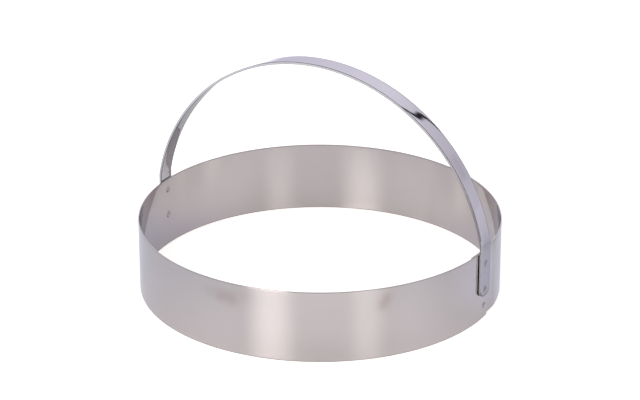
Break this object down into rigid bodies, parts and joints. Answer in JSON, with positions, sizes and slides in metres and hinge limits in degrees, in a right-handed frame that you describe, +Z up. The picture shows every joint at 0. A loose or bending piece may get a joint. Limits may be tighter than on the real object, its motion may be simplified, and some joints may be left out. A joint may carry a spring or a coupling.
{
  "type": "calzone cutter",
  "caption": "Round steel dough cutter: a thin open band pressed edge-down through rolled dough, with a fixed arched strap handle spot-welded across its top.",
  "frame": {"origin": "on the band's axis, level with its lower cutting edge", "axes": "+Z up along the band's axis, +X through the handle foot that covers the band's lap, +Y across the handle"},
  "size_m": [0.3046, 0.3, 0.1939],
  "materials": {
    "band_steel": "satin rolled stainless steel sheet, grain round the band",
    "strap_steel": "polished stainless steel strip",
    "weld_steel": "dull pressed steel of a spot weld"
  },
  "bodies": {
    "root": {"cutter_band": "band_steel", "handle_strap": "strap_steel", "right_foot_weld_upper": "weld_steel", "right_foot_weld_lower": "weld_steel", "left_foot_weld_upper": "weld_steel", "left_foot_weld_lower": "weld_steel", "seam_weld": "weld_steel"}
  },
  "joints": []
}
